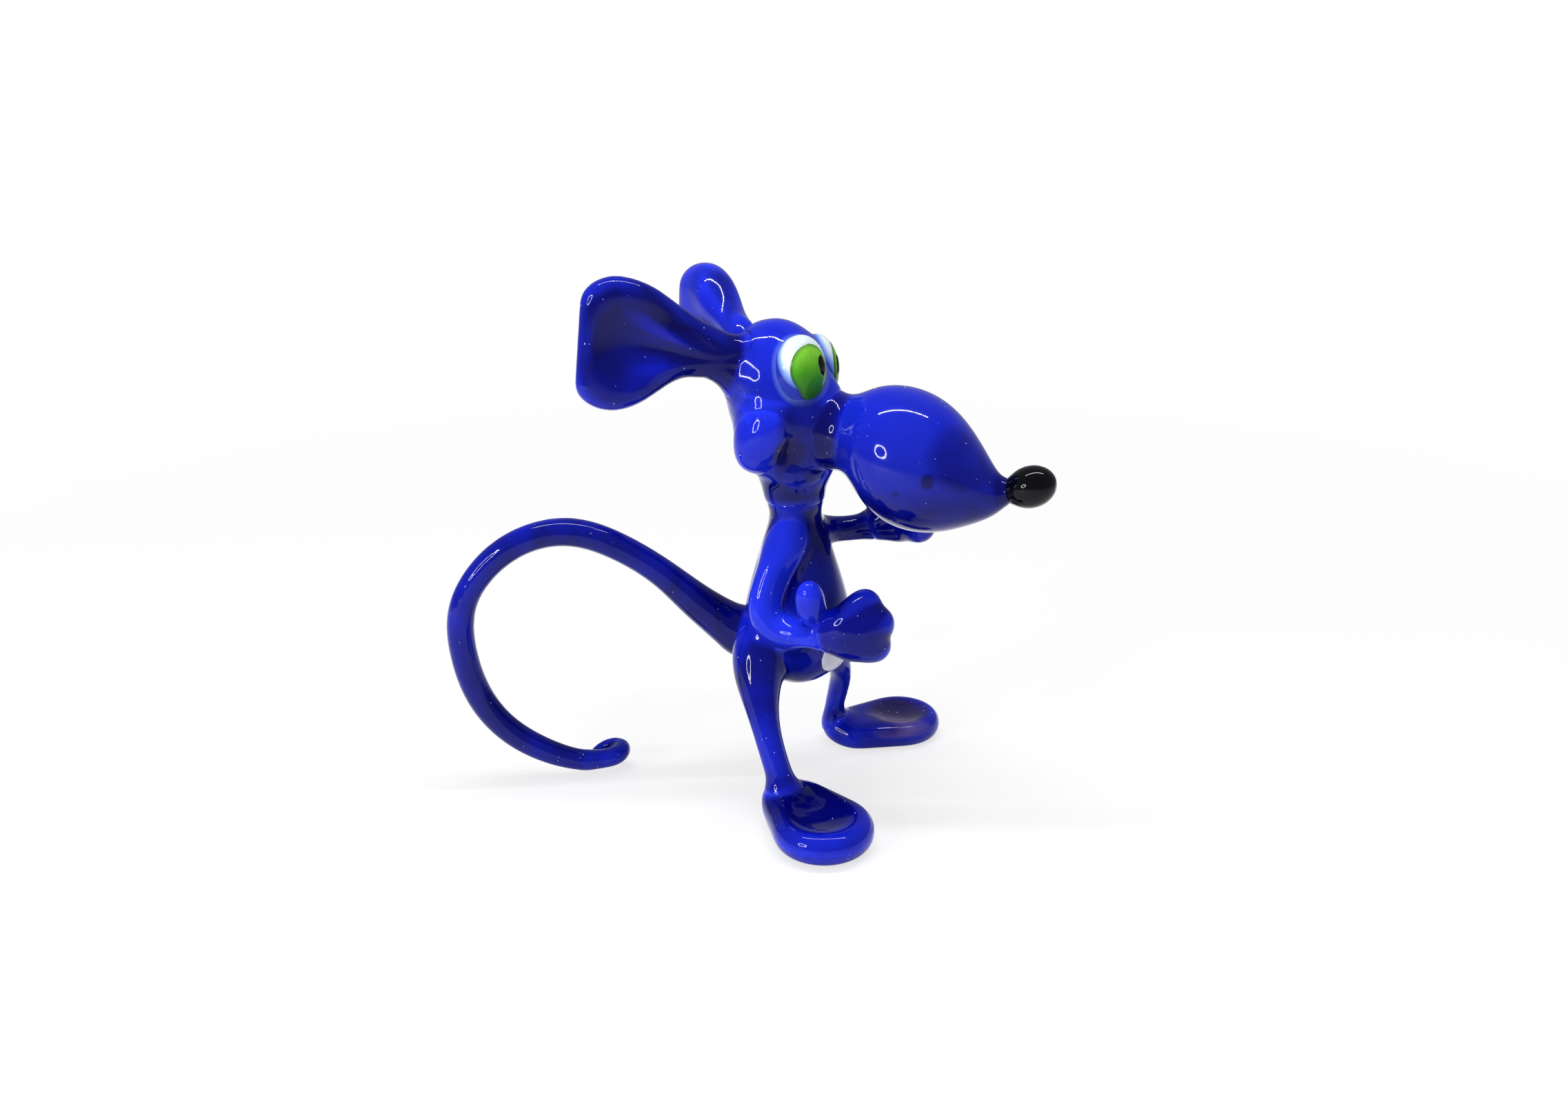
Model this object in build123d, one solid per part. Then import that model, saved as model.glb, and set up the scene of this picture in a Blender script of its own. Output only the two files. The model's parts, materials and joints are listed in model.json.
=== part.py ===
from build123d import *
import os
from math import cos, radians, sin

# Flame-worked glass rat, standing on two pressed feet, with its tail curled round to the table.
# Millimetres. The rat faces -Y, its left side is +X, the table is z = 0, and the origin is on
# the table under the middle of the figure.
# Each gather or rod of glass is its own solid, cut to the one that it was melted on to.

# Torso: a pear of glass that leans a little forward
neck_height = 37.0          # table to the seam under the head
neck_forward = 4.84         # neck seam ahead of the middle of the figure
neck_radius = 2.75
torso_length = 23.6
torso_lean = -0.6           # degrees
hip_radius = 6.7
patch_height = 7.6          # white glass on the belly
patch_width = 7.6
patch_depth = 3.0
patch_rise = 5.9            # its middle above the underside of the belly
patch_turn = 13.0           # degrees to the right of straight ahead
patch_stand = 0.3           # how far it stands out of the belly

# Head: an upright egg, leaning back and turned a little to the right
head_height = 21.0
head_radius = 6.2
head_lean = 9.0             # degrees
head_turn = 5.0             # degrees

# Muzzle and nose, measured from the neck seam in the head's own frame
muzzle_reach = 25.4         # head's middle to the nose seam
muzzle_radius = 8.0
muzzle_width_share = 0.94
muzzle_root_rise_share = 0.414   # of the head's height
muzzle_drop = 5.8           # from the root down to the nose seam
nose_radius = 2.45
nose_length = 6.0
nose_lift = 22.0            # degrees
nose_seat = 0.5             # depth of the muzzle's tip inside the nose

# Ears: pressed paddles with a rolled rim and a dished face, the left one a little smaller
right_ear_length = 17.0
right_ear_height = 15.2
right_ear_rise_share = 0.79 # root's height on the head
right_ear_back = 6.2        # root behind the neck's middle
right_ear_sweep = 56.0      # degrees back from straight sideways
right_ear_thickness = 3.3
left_ear_length = 16.5
left_ear_height = 14.8
left_ear_rise_share = 0.748
left_ear_back = 7.7
left_ear_sweep = 50.0
left_ear_thickness = 5.6
ear_dish_depth = 1.1
ear_dish_width_share = 0.68 # of the ear's height
ear_dish_share = 0.62       # dish's middle along the ear
ear_out = 4.6
ear_tilt = 7.0              # degrees, rim above root

# Eyes: white, green and black glass, each melted into the one below
eye_height = 8.6
eye_width = 6.6
eye_depth = 4.6
eye_rise_share = 0.729      # middle's height on the head
eye_seat = 5.0              # from the head's axis out to the middle of the white
eye_yaw = 33.0              # degrees outward
left_eye_drop = 0.8         # the left eye sits lower
iris_height = 6.4
iris_width = 5.4
iris_point_radius = 1.6     # the green is an egg, narrow end down
iris_stand = 0.12           # how far the green stands out of the white
iris_bed = 0.9              # how deep it is let in
iris_in = 0.3               # towards the other eye
iris_drop = 0.3
pupil_height = 2.5
pupil_width = 1.9
pupil_stand = 0.24
pupil_bed = 0.4
pupil_in = 1.9
pupil_lift = 1.0

# Cheeks, lip and mouth corners
cheek_length = 8.8
cheek_radius = 2.9
cheek_rise_share = 0.376    # middle's height on the head
cheek_back = 2.2
cheek_out = 4.7
cheek_slope = 62.0          # degrees up to the front
lip_width = 9.0
lip_depth = 6.4
lip_height = 4.4
lip_rise_share = 0.186
lip_forward = 0.9
mouth_radius = 3.4          # ball that pressed the hollow at each mouth corner
mouth_depth = 1.7
mouth_rise_share = 0.286
mouth_yaw = 64.0            # degrees outward

# Arms: rods from the shoulders, the right one bent at the elbow and the left one held out
shoulder_drop = 3.6         # neck seam down to the shoulders
arm_radius = 2.1
right_arm_spread = 7.8
right_arm_reach = 5.3
right_arm_drop_share = 0.462   # of the torso's length
left_arm_spread = 8.5
left_arm_reach = 7.4
left_arm_drop = 2.2

# Hands: a palm with three pressed fingers, and a thumb melted on
palm_length = 7.2
palm_height = 6.2
palm_depth = 4.2
finger_radius = 2.15
finger_reach = 6.35         # wrist to the middle of the longest finger's end
finger_curl = 1.2           # finger ends bend in towards the body
right_hand_lift = 0.0       # degrees
left_hand_lift = 18.0       # degrees
thumb_radius = 1.85
thumb_length = 6.2
thumb_rise = 1.1            # its foot above the middle of the wrist
right_thumb_back = 1.0      # behind the wrist
left_thumb_back = -1.2
thumb_lean = 14.0           # degrees outward

# Legs: the right one near straight, the left one in an S
hip_rise = 7.6              # above the underside of the belly
right_leg_spread = 11.1
right_leg_reach = 1.8       # ankle ahead of the neck seam
right_leg_radius = 3.35
left_leg_spread = 10.5
left_leg_reach = 3.65
left_leg_radius = 2.4
ankle_height = 2.5

# Feet: pads pressed flat underneath, with a rolled edge and a dished top
right_foot_length = 16.2
right_foot_width = 11.9
right_foot_thickness = 4.0
right_foot_splay = 44.0     # degrees
right_heel_out = 10.9
right_heel_forward = 3.3    # ahead of the neck seam
left_foot_length = 15.7
left_foot_width = 11.0
left_foot_thickness = 3.5
left_foot_splay = 36.0      # degrees
left_heel_out = 11.7
left_heel_forward = 5.1
heel_width = 8.6
foot_edge_share = 0.46      # edge radius as a share of the thickness
foot_dish_depth = 0.8
foot_dish_width = 8.2

# Tail: a tapering rod that runs up, round a full loop, and hooks under itself
tail_radius = 1.8
tail_tip_radius = 0.42
tail_root_back = 7.8        # behind the neck seam
tail_swing = 24.0           # degrees to the right of straight back
tail_reach = 33.6           # root to the rearmost point of its middle
tail_height = 32.9          # table to the highest point of its middle
hook_back = 14.9            # root to the front of the hook
hook_length = 5.2
hook_width = 3.5
hook_height = 2.75
hook_tip_aside = 0.6        # the tip ends under the tail, on the table

torso_seam = 60.0           # degrees from the left side towards the back
head_seam = 90.0
overrun = 1.0               # how far a cutting solid passes the face that it cuts

# Outlines, as shares of the sizes that they follow
# Height share of the torso and radius share of the hips, underside to neck
torso_shares = ((0.015, 0.32), (0.07, 0.62), (0.17, 0.87), (0.32, 0.98), (0.48, 0.90),
                (0.63, 0.755), (0.79, 0.58), (0.91, 0.45))
# Height share and radius share of the head, neck to crown
head_shares = ((0.17, 0.68), (0.37, 0.90), (0.55, 0.99), (0.73, 0.98), (0.87, 0.78), (0.96, 0.46),
               (0.995, 0.16))
# Reach share, drop share and radius share of the muzzle, root to nose seam
muzzle_shares = ((0.05, 0.0, 0.42), (0.18, 0.06, 0.46), (0.287, 0.18, 0.61), (0.40, 0.36, 0.89),
                 (0.52, 0.48, 1.0), (0.66, 0.60, 0.95), (0.80, 0.78, 0.71), (0.91, 1.0, 0.40),
                 (1.0, 1.0, 0.165))
# Along, up, height and thickness shares of each ear, root to rim
right_ear_shares = ((-0.12, -0.04, 0.52, 1.15), (0.05, 0.01, 0.42, 1.1), (0.20, 0.07, 0.43, 1.0),
                    (0.38, 0.085, 0.62, 0.95), (0.57, 0.07, 0.90, 0.95), (0.75, 0.055, 0.995, 1.0),
                    (0.89, 0.05, 0.92, 0.97), (0.96, 0.045, 0.80, 0.70), (0.995, 0.04, 0.66, 0.32))
left_ear_shares = ((-0.12, -0.04, 0.50, 0.75), (0.05, 0.01, 0.42, 0.70), (0.20, 0.07, 0.42, 0.68),
                   (0.38, 0.085, 0.58, 0.78), (0.57, 0.07, 0.90, 0.95), (0.75, 0.055, 0.995, 1.0),
                   (0.89, 0.05, 0.92, 0.97), (0.96, 0.045, 0.80, 0.70), (0.995, 0.04, 0.66, 0.32))
# Outward, backward, downward and radius shares of each arm, shoulder to wrist
right_arm_shares = ((0.0, 0.0, 0.0, 0.9), (0.38, 0.0, 0.08, 0.97), (0.64, 0.20, 0.33, 0.94),
                    (0.81, 0.38, 0.64, 0.88), (0.885, 0.33, 0.86, 0.86), (0.92, 0.02, 0.98, 0.80),
                    (0.96, -0.43, 1.0, 0.78), (1.0, -1.0, 0.94, 0.85))
left_arm_shares = ((0.0, 0.0, 0.0, 0.95), (0.40, -0.10, 0.52, 0.94), (0.70, -0.35, 0.95, 0.82),
                   (0.88, -0.67, 1.03, 0.79), (1.0, -1.0, 0.90, 0.82))
# Outward, forward, height and radius shares of each leg, hip to ankle
right_leg_shares = ((0.14, -0.83, 1.0, 0.94), (0.38, -1.67, 0.94, 1.0), (0.56, -1.6, 0.79, 0.94),
                    (0.72, -1.17, 0.64, 0.72), (0.85, -0.61, 0.49, 0.55), (0.93, -0.06, 0.35, 0.5),
                    (0.98, 0.56, 0.19, 0.5), (1.0, 1.0, 0.0, 0.69))
left_leg_shares = ((0.19, -0.11, 0.92, 1.0), (0.40, 0.52, 0.77, 0.92), (0.55, 0.90, 0.64, 0.75),
                   (0.69, 1.0, 0.53, 0.65), (0.81, 0.93, 0.42, 0.62), (0.93, 0.66, 0.21, 0.57),
                   (0.97, 0.55, 0.11, 0.57), (1.0, 0.66, 0.0, 0.75))
# Forward, upward and radius shares of the fingers' ends, and how far each one's root is raised
finger_shares = ((0.76, 1.62, 0.98, 0.3), (0.98, 0.66, 1.04, 0.15), (0.94, -0.6, 0.98, -0.1))
# Back, height and radius shares of the tail, root to the underside of its loop
tail_shares = ((-0.06, 0.54, 1.62), (0.03, 0.608, 1.58), (0.08, 0.65, 1.42), (0.157, 0.719, 1.24),
               (0.25, 0.81, 1.06), (0.40, 0.923, 1.0), (0.59, 0.998, 1.0), (0.77, 0.965, 0.97),
               (0.905, 0.862, 0.95), (0.985, 0.725, 0.95), (0.994, 0.53, 0.96), (0.95, 0.36, 0.97),
               (0.865, 0.228, 0.95), (0.745, 0.133, 0.91), (0.63, 0.081, 0.82), (0.548, 0.068, 0.77))
# Back, aside, height and radius shares of the hook, from inside the loop's end to the tip
hook_shares = ((0.98, 0.0, 0.89, 0.766), (0.67, 0.0, 0.84, 0.75), (0.38, 0.0, 0.87, 0.74),
               (0.10, 0.14, 0.95, 0.71), (0.0, 0.50, 1.0, 0.66), (0.12, 0.86, 0.98, 0.60),
               (0.38, 1.0, 0.90, 0.53), (0.69, 0.89, 0.66, 0.44), (0.92, 0.54, 0.40, 0.35))

# Steps in degrees
dome_angles = (40.0, 75.0)  # sections that round off a rod's free end

# Places worked out from the sizes above
head_place = Pos(0, -neck_forward, neck_height) * Rot(0, 0, -head_turn)
torso_place = Pos(0, -neck_forward, neck_height) * Rot(torso_lean, 0, 0) * Pos(0, 0, -torso_length)
underside = neck_height - torso_length
muzzle_root_rise = muzzle_root_rise_share * head_height
right_ear_rise = right_ear_rise_share * head_height
left_ear_rise = left_ear_rise_share * head_height
eye_rise = eye_rise_share * head_height
cheek_rise = cheek_rise_share * head_height
lip_rise = lip_rise_share * head_height
mouth_rise = mouth_rise_share * head_height
right_arm_drop = right_arm_drop_share * torso_length


def headings_along(spots):
    """Direction of the route at each of its points."""
    last = len(spots) - 1
    return [(spots[min(i + 1, last)] - spots[max(i - 1, 0)]).normalized() for i in range(last + 1)]


def rod(route, start_dome=False, end_dome=False, guide=(0, 0, 1)):
    """Glass rod: round sections, square to a route of (x, y, z, radius) points."""
    spots = [Vector(x, y, z) for x, y, z, radius in route]
    sections = list(zip(spots, headings_along(spots), [stop[3] for stop in route]))
    first, last = sections[0], sections[-1]
    for angle in dome_angles:
        rise, narrowing = sin(radians(angle)), cos(radians(angle))
        if end_dome:
            spot, heading, radius = last
            sections.append((spot + heading * radius * rise, heading, radius * narrowing))
        if start_dome:
            spot, heading, radius = first
            sections.insert(0, (spot - heading * radius * rise, heading, radius * narrowing))
    across = Vector(*guide)
    rings = []
    for spot, heading, radius in sections:
        across = (across - heading * across.dot(heading)).normalized()
        rings.append(Plane(origin=spot, x_dir=across, z_dir=heading) * Circle(radius))
    return loft(rings)


def ellipsoid(width, depth, height):
    """Blob of glass with its middle at the origin."""
    return scale(Sphere(1), by=(width / 2, depth / 2, height / 2))


def turned(outline, seam):
    """Body turned about Z from (radius, height) points, its seam line at that many degrees from X."""
    top, bottom = outline[-1][1], outline[0][1]
    half = make_face(Spline(*outline) + Polyline(outline[-1], (0, top), (0, bottom), outline[0]))
    return Rot(0, 0, seam) * revolve(Plane.XZ * half, Axis.Z)


def dish_ball(width, depth):
    """Ball that presses a round dish of that width and depth below the origin."""
    radius = (width ** 2 / 4 + depth ** 2) / (2 * depth)
    return Pos(0, 0, radius - depth) * Sphere(radius)


def mirrored(piece):
    """The same piece on the rat's left side."""
    return mirror(piece, about=Plane.YZ)


# Torso and belly patch

def torso_radius_at(rise):
    """Radius of the torso at a height above its underside, read off its outline."""
    share = rise / torso_length
    for (low, low_radius), (high, high_radius) in zip(torso_shares, torso_shares[1:]):
        if low <= share <= high:
            between = (share - low) / (high - low)
            return hip_radius * (low_radius + (high_radius - low_radius) * between)
    return hip_radius


def build_torso():
    outline = [(radius * hip_radius, height * torso_length) for height, radius in torso_shares]
    outline.append((neck_radius, torso_length + overrun))
    body = torso_place * turned(outline, torso_seam)
    return split(body, Plane.XY.offset(neck_height), keep=Keep.BOTTOM)


def build_belly_patch():
    out = torso_radius_at(patch_rise) + patch_stand - patch_depth / 2
    lens = Pos(0, -out, patch_rise) * ellipsoid(patch_width, patch_depth, patch_height)
    return torso_place * Rot(0, 0, -patch_turn) * lens


# Head and what is melted on to it, in the head's frame

def axis_spot(rise):
    """Place on the head's leaning axis at a height above the neck seam."""
    return Pos(0, rise * sin(radians(head_lean)), rise)


def build_head():
    outline = [(neck_radius, -overrun)]
    outline += [(radius * head_radius, height * head_height) for height, radius in head_shares]
    egg = split(Rot(-head_lean, 0, 0) * turned(outline, head_seam), Plane.XY, keep=Keep.TOP)
    hollow = Rot(90, 0, 0) * Pos(0, 0, head_radius * head_shares[1][1]) * dish_ball(
        2 * mouth_radius, mouth_depth)
    right_hollow = axis_spot(mouth_rise) * Rot(0, 0, -mouth_yaw) * hollow
    return egg - right_hollow - mirrored(right_hollow)


def build_muzzle():
    rings = []
    for reach, drop, radius in muzzle_shares:
        middle = Vector(0, -reach * muzzle_reach, muzzle_root_rise - drop * muzzle_drop)
        tall = radius * muzzle_radius
        ring = Plane(origin=middle, x_dir=(1, 0, 0), z_dir=(0, -1, 0))
        rings.append(ring * Ellipse(tall * muzzle_width_share, tall))
    return loft(rings)


def build_nose():
    seam = Pos(0, -muzzle_reach, muzzle_root_rise - muzzle_drop)
    ball = ellipsoid(2 * nose_radius, 2 * nose_radius, nose_length)
    return seam * Rot(90 - nose_lift, 0, 0) * Pos(0, 0, nose_length / 2 - nose_seat) * ball


def build_ear(shares, length, height, thickness, rise, back, sweep):
    """Ear on the right side of the head, pressed from the front."""
    sections = []
    for along, up, tall, thick in shares:
        section = Plane(origin=(along * length, up * height, 0), x_dir=(0, 1, 0), z_dir=(1, 0, 0))
        sections.append(section * SlotOverall(tall * height, thick * thickness))
    dish_middle = Pos(ear_dish_share * length, shares[4][1] * height, -thickness / 2)
    dish = dish_middle * Rot(180, 0, 0) * dish_ball(height * ear_dish_width_share, ear_dish_depth)
    outward = Vector(-cos(radians(sweep)), sin(radians(sweep)), sin(radians(ear_tilt)))
    rearward = outward.cross(Vector(0, 0, 1))
    return Plane(origin=(-ear_out, back, rise), x_dir=outward, z_dir=rearward) * (loft(sections) - dish)


def on_right_eye(piece):
    """Piece made round the middle of an eye that looks along -Y, set in the right socket."""
    socket = axis_spot(eye_rise) * Rot(0, 0, -eye_yaw) * Pos(0, -eye_seat, 0)
    return split(socket * piece, Plane.YZ, keep=Keep.BOTTOM)


def eye_dot(width, height, point_radius, across, up, stand, bed):
    """Dot of glass let into an eye: an egg outline under the swell of the eye."""
    broad = width / 2
    low = broad + point_radius - height
    outline = make_hull((Circle(broad) + Pos(0, low) * Circle(point_radius)).edges())
    front = Plane(origin=(across, 0, up - low / 2), x_dir=(1, 0, 0), z_dir=(0, -1, 0))
    plug = extrude(front.offset(eye_depth / 2 - bed) * outline, eye_depth)
    swell = ellipsoid(eye_width + 2 * stand, eye_depth + 2 * stand, eye_height + 2 * stand)
    return on_right_eye(plug & swell)


def build_right_cheek():
    middle = Pos(-cheek_out, cheek_back, cheek_rise)
    return middle * Rot(90 - cheek_slope, 0, 0) * ellipsoid(2 * cheek_radius, 2 * cheek_radius, cheek_length)


def build_lower_lip():
    return Pos(0, -lip_forward, lip_rise) * ellipsoid(lip_width, lip_depth, lip_height)


def build_eyes(head, muzzle):
    white = on_right_eye(ellipsoid(eye_width, eye_depth, eye_height))
    iris = eye_dot(iris_width, iris_height, iris_point_radius, iris_in, -iris_drop, iris_stand, iris_bed)
    pupil = eye_dot(pupil_width, pupil_height, pupil_width / 2.5, pupil_in, pupil_lift, pupil_stand,
                    pupil_bed)
    lower = Pos(0, 0, -left_eye_drop)
    eyes = {}
    for side, whole in (("right", (white, iris, pupil)),
                        ("left", [lower * mirrored(piece) for piece in (white, iris, pupil)])):
        eyes[side + "_eye_white"] = whole[0] - head - muzzle - whole[1] - whole[2]
        eyes[side + "_iris"] = whole[1] - whole[2] - head
        eyes[side + "_pupil"] = whole[2] - head
    return eyes


def build_head_pieces():
    head = build_head()
    muzzle = build_muzzle()
    right_cheek = build_right_cheek() - head - muzzle
    left_cheek = mirrored(build_right_cheek()) - head - muzzle
    right_ear = build_ear(right_ear_shares, right_ear_length, right_ear_height, right_ear_thickness,
                          right_ear_rise, right_ear_back, right_ear_sweep)
    left_ear = build_ear(left_ear_shares, left_ear_length, left_ear_height, left_ear_thickness,
                         left_ear_rise, left_ear_back, left_ear_sweep)
    pieces = {
        "head": head,
        "muzzle": muzzle - head,
        "nose": build_nose() - muzzle,
        "lower_lip": build_lower_lip() - head - muzzle - right_cheek - left_cheek,
        "right_cheek": right_cheek,
        "left_cheek": left_cheek,
        "right_ear": right_ear - head,
        "left_ear": mirrored(left_ear) - head,
    }
    pieces.update(build_eyes(head, muzzle))
    return {name: head_place * piece for name, piece in pieces.items()}


# Arms and hands

def arm_route(side, shares, spread, reach, drop):
    start_height = neck_height - shoulder_drop
    return [(side * out * spread, -neck_forward + back * reach, start_height - down * drop,
             thick * arm_radius) for out, back, down, thick in shares]


def build_hand(side):
    """Hand with its wrist at the origin and its fingers ahead."""
    hand = Pos(0, -palm_length / 2, 0) * ellipsoid(palm_depth, palm_length, palm_height)
    for ahead, up, thick, root_up in finger_shares:
        radius = finger_radius * thick
        reach = finger_reach * ahead
        root = (0, -finger_reach / 4, root_up * finger_radius, radius)
        middle = (0, -reach * 2 / 3, (root_up + up) / 2 * finger_radius, radius)
        end = (-side * finger_curl, -reach, up * finger_radius, radius)
        hand += rod((root, middle, end), start_dome=True, end_dome=True)
    return hand


def build_thumb(side, back):
    """Thumb standing over the wrist at the origin."""
    stub = ellipsoid(2 * thumb_radius, 2 * thumb_radius, thumb_length)
    return Pos(0, back, 0) * Rot(0, side * thumb_lean, 0) * Pos(0, 0, thumb_length / 2 + thumb_rise) * stub


def build_arm_pieces(name, side, route, lift, thumb_back, torso):
    x, y, z, radius = route[-1]
    wrist = Pos(x, y, z) * Rot(-lift, 0, 0)
    arm = rod(route) - torso
    hand = wrist * build_hand(side) - arm
    thumb = wrist * build_thumb(side, thumb_back) - arm - hand
    return {name + "_arm": arm, name + "_hand": hand, name + "_thumb": thumb}


# Legs and feet

def leg_route(side, shares, spread, reach, thickest):
    hip_height = underside + hip_rise
    return [(side * out * spread, -neck_forward - ahead * reach,
             ankle_height + up * (hip_height - ankle_height), thick * thickest)
            for out, ahead, up, thick in shares]


def build_foot(side, length, width, thickness, splay, heel_out, heel_forward):
    spacing = length - (width + heel_width) / 2
    outline = make_hull((Circle(heel_width / 2) + Pos(0, -spacing) * Circle(width / 2)).edges())
    pad = extrude(outline, thickness)
    ends = pad.faces().sort_by(Axis.Z)
    pad = fillet(ends[0].edges() + ends[-1].edges(), thickness * foot_edge_share)
    pad -= Pos(0, -spacing, thickness) * dish_ball(foot_dish_width, foot_dish_depth)
    return Pos(side * heel_out, -neck_forward - heel_forward, 0) * Rot(0, 0, side * splay) * pad


# Tail

def tail_spot(back, height, aside):
    """Place in the tail's own upright plane, aside is away from it to the left."""
    swing = radians(tail_swing)
    return (-back * sin(swing) + aside * cos(swing),
            tail_root_back - neck_forward + back * cos(swing) + aside * sin(swing), height)


def build_tail():
    loop = [(*tail_spot(back * tail_reach, height * tail_height, 0), thick * tail_radius)
            for back, height, thick in tail_shares]
    hook = [(*tail_spot(hook_back + back * hook_length, height * hook_height, aside * hook_width),
             thick * tail_radius) for back, aside, height, thick in hook_shares]
    tip = tail_spot(hook_back + hook_length, tail_tip_radius, hook_tip_aside)
    return rod(loop) + rod(hook + [(*tip, tail_tip_radius)], end_dome=True)


def build_all():
    torso = build_torso()
    pieces = {"torso": torso}
    pieces.update(build_head_pieces())
    right_arm = arm_route(-1, right_arm_shares, right_arm_spread, right_arm_reach, right_arm_drop)
    left_arm = arm_route(1, left_arm_shares, left_arm_spread, left_arm_reach, left_arm_drop)
    pieces.update(build_arm_pieces("right", -1, right_arm, right_hand_lift, right_thumb_back, torso))
    pieces.update(build_arm_pieces("left", 1, left_arm, left_hand_lift, left_thumb_back, torso))
    pieces["right_foot"] = build_foot(-1, right_foot_length, right_foot_width, right_foot_thickness,
                                      right_foot_splay, right_heel_out, right_heel_forward)
    pieces["left_foot"] = build_foot(1, left_foot_length, left_foot_width, left_foot_thickness,
                                     left_foot_splay, left_heel_out, left_heel_forward)
    right_leg = leg_route(-1, right_leg_shares, right_leg_spread, right_leg_reach, right_leg_radius)
    left_leg = leg_route(1, left_leg_shares, left_leg_spread, left_leg_reach, left_leg_radius)
    for name, route in (("right", right_leg), ("left", left_leg)):
        leg = rod(route, guide=(0, 1, 0)) - torso - pieces[name + "_foot"]
        pieces[name + "_leg"] = leg - pieces[name + "_arm"]
    pieces["belly_patch"] = build_belly_patch() - torso - pieces["right_leg"] - pieces["left_leg"]
    pieces["tail"] = build_tail() - torso
    return pieces


os.makedirs("parts", exist_ok=True)
for node, solid in build_all().items():
    export_step(solid, f"parts/{node}.step")
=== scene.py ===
"""Looks of a flame-worked glass rat: every piece of cobalt, white, green and black glass is
skinned from its solid and melted into the pieces that it touches."""
import json
from math import cos, radians, sin

import bpy
import numpy as np
from mathutils import Matrix, Vector
from mathutils.bvhtree import BVHTree


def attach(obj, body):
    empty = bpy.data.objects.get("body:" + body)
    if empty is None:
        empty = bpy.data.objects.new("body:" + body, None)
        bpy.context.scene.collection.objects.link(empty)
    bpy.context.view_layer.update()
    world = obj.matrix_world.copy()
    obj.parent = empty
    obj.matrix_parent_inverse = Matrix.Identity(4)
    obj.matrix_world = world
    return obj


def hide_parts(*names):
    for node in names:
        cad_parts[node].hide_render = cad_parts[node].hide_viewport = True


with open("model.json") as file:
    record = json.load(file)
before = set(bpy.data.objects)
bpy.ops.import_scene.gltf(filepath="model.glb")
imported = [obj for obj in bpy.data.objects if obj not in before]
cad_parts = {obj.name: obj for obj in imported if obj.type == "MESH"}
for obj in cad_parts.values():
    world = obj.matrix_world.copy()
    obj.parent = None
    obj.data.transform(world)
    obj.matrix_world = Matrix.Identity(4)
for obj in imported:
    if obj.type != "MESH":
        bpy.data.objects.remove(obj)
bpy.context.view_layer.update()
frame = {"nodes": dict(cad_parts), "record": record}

# Melting the pieces together, in millimetres
METRE = 1000.0              # millimetres in a metre
skin_step = 0.26
eye_step = 0.13
band_steps = 4              # least steps of field kept on each side of a surface
band_least = 1.0
touch_gap = 0.12            # pieces nearer than this are fused
lap = 0.3                   # how far a piece runs on under its neighbour
lap_slope = 0.8             # how steeply it dips there
search_stride = 4           # coarse steps per fine one when looking for the surface
hair = 1e-4                 # step past a surface that a ray has met
softening = 0.42            # how far the flame has rounded every edge
eye_softening = 0.28
skin_smooths = 12           # turns of evening the corners of a skin
thickest = 9.0              # glass thicker than this is fully dark
glass_gap = 0.3             # space between two pieces that still counts as glass
seam_reach = 3.0            # distance from a seam that the glass still shows it
glow_reach = 2.0            # distance from the eye that the head still pales
tone_reach = 1.6            # width over which two neighbours' tones blend
bend_limit = 0.5            # mean bend, one over the radius in millimetres, that counts as full
bend_softening = 0.35
attribute_smooths = 10      # turns of evening the depth over a skin

# How far two gathers melt into each other
melt_default = 1.5
melt_far = 0.3              # for a piece that only touches a neighbour
melt_of = {
    frozenset(("right_arm", "right_leg")): 0.3,
    frozenset(("muzzle", "nose")): 0.5,
    frozenset(("head", "torso")): 3.0,
    frozenset(("head", "muzzle")): 4.2,
    frozenset(("head", "lower_lip")): 2.4,
    frozenset(("muzzle", "lower_lip")): 1.0,
    frozenset(("tail", "torso")): 1.4,
    frozenset(("right_arm", "torso")): 2.4,
    frozenset(("left_arm", "torso")): 2.4,
    frozenset(("tail", "right_leg")): 0.9,
    frozenset(("torso", "belly_patch")): 0.5,
    frozenset(("right_leg", "right_foot")): 2.4,
    frozenset(("left_leg", "left_foot")): 2.4,
}
eye_parts = [side + part for side in ("right", "left") for part in ("_eye_white", "_iris", "_pupil")]
for name in eye_parts:
    for other in eye_parts:
        if other != name:
            melt_of[frozenset((name, other))] = 0.2
    for other in ("head", "muzzle", "right_cheek", "left_cheek"):
        melt_of[frozenset((name, other))] = 0.5
for side in ("right", "left"):
    melt_of[frozenset((side + "_cheek", "head"))] = 2.2
    melt_of[frozenset((side + "_cheek", "muzzle"))] = 2.2
    melt_of[frozenset((side + "_hand", side + "_thumb"))] = 0.7
    melt_of[frozenset((side + "_arm", side + "_thumb"))] = 0.7
    melt_of[frozenset((side + "_arm", side + "_hand"))] = 1.6

# How far a dab of colour stands proud of the glass under it
proud_of = {side + part: proud for side in ("right", "left")
            for part, proud in (("_iris", 0.03), ("_pupil", 0.07))}

# How dark each gather is painted: one is darkest, below nought is paler than plain. The near-side arm, hand,
# thumb, leg, foot and cheek are set paler than the far-side ones, which is painted light and shade.
tone_and_shade_default = 0.35
tone_and_shade_of = {"torso": 0.75, "right_ear": 0.75, "left_ear": -0.8, "muzzle": 0.5, "head": 0.3,
           "right_cheek": -0.2, "left_cheek": 0.0,
           "right_foot": 0.05, "left_foot": 0.5, "tail": 1.1, "right_leg": -0.1,
           "left_leg": 0.4, "right_arm": -0.9, "left_arm": 0.6, "right_hand": 0.05, "left_hand": 0.4,
           "right_thumb": -0.2, "lower_lip": 0.6}

# How much dark cloud hangs in each
murk_default = 0.12
murk_of = {"muzzle": 1.0, "right_ear": 1.0, "left_ear": 0.5, "torso": 0.8, "head": 0.5, "tail": 0.3}


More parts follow.
